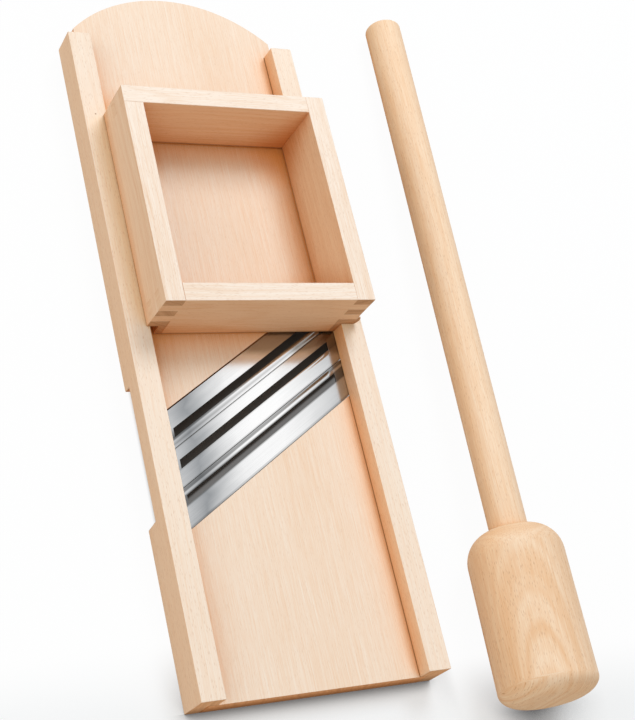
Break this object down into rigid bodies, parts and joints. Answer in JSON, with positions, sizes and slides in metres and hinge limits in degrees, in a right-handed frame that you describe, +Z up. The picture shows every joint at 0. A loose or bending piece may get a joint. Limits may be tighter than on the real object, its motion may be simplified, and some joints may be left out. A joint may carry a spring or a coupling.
{
  "type": "cabbage shredder",
  "caption": "Beech slicing board with slanted slotted steel knives, a box that slides over them on two rails, and a loose wooden stomper with a long handle.",
  "frame": {"origin": "on the underside of the slicing board, at the middle of its width and of its overall length", "axes": "+X across the board, +Y along it towards the arched end, +Z up out of its face; the board lies flat on its underside"},
  "size_m": [0.3315, 0.6388, 0.0815],
  "materials": {
    "beech": "fine sanded, unvarnished beech",
    "knife_steel": "brushed stainless sheet",
    "screw_steel": "zinc plated"
  },
  "bodies": {
    "board": {"left_rail": "beech", "right_rail": "beech", "upper_board": "beech", "lower_board": "beech", "upper_knife": "knife_steel", "middle_knife": "knife_steel", "lower_knife": "knife_steel", "left_knife_screw_1": "screw_steel", "left_knife_screw_2": "screw_steel", "left_knife_screw_3": "screw_steel", "left_board_screw_1": "screw_steel", "left_board_screw_2": "screw_steel", "left_board_screw_3": "screw_steel", "left_board_screw_4": "screw_steel", "right_knife_screw_1": "screw_steel", "right_knife_screw_2": "screw_steel", "right_knife_screw_3": "screw_steel", "right_board_screw_1": "screw_steel", "right_board_screw_2": "screw_steel", "right_board_screw_3": "screw_steel", "right_board_screw_4": "screw_steel"},
    "carriage": {"carriage_left_wall": "beech", "carriage_right_wall": "beech", "carriage_lower_wall": "beech", "carriage_upper_wall": "beech"},
    "stomper": {"stomper_head": "beech", "stomper_handle": "beech"}
  },
  "joints": [
    {"name": "carriage_slide", "type": "slide", "parent": "board", "child": "carriage", "axis": [0, 1, 0], "range_m": [-0.284, 0.079]},
    {"name": "stomper_lift", "type": "slide", "parent": "board", "child": "stomper", "axis": [0, 0, 1], "range_m": [0, 0.2]}
  ]
}
